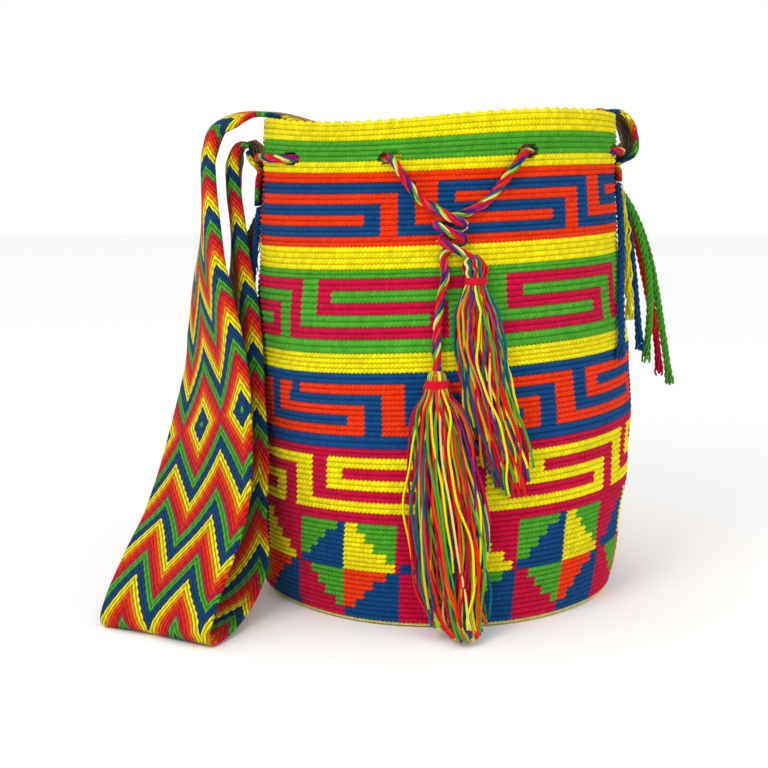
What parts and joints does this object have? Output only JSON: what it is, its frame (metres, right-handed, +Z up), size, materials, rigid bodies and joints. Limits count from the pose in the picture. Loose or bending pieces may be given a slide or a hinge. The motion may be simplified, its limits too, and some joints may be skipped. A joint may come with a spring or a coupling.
{
  "type": "woven shoulder bag",
  "caption": "Crocheted round-bottomed shoulder bag with a drawstring mouth, tied tassels and a broad woven strap.",
  "frame": {"origin": "centre of the flat base, on the surface the bag stands on", "axes": "+Z up along the bag, -Y towards the front where the tassels hang, +X to the right seen from the front"},
  "size_m": [0.3574, 0.2785, 0.3068],
  "materials": {
    "crochet": "matte crocheted yarn in bands of several colours",
    "strap_weave": "matte twined yarn in zigzags of five colours",
    "twisted_cord": "matte twisted multi-colour yarn",
    "tassel_yarn": "loose plied yarns of many colours",
    "tie_yarn": "matte wound yarn",
    "blue_yarn": "matte twisted yarn",
    "green_yarn": "matte twisted yarn",
    "yellow_yarn": "frayed yarn",
    "orange_yarn": "frayed yarn",
    "magenta_yarn": "matte twisted yarn"
  },
  "bodies": {
    "root": {"bag_body": "crochet", "shoulder_strap": "strap_weave", "drawstring_run": "twisted_cord", "drawstring_short_end": "twisted_cord", "drawstring_long_end": "twisted_cord", "short_tassel_head": "tassel_yarn", "short_tassel_tie": "tie_yarn", "short_tassel_skein": "tassel_yarn", "long_tassel_tie": "tie_yarn", "long_tassel_skein": "tassel_yarn", "right_fringe_blue_1": "blue_yarn", "right_fringe_yellow": "yellow_yarn", "right_fringe_blue_2": "blue_yarn", "right_fringe_green_1": "green_yarn", "right_fringe_green_2": "green_yarn", "right_fringe_orange": "orange_yarn", "right_fringe_magenta": "magenta_yarn", "left_fringe_blue": "blue_yarn", "left_fringe_magenta": "magenta_yarn", "left_fringe_green": "green_yarn", "left_fringe_yellow": "yellow_yarn"}
  },
  "joints": []
}
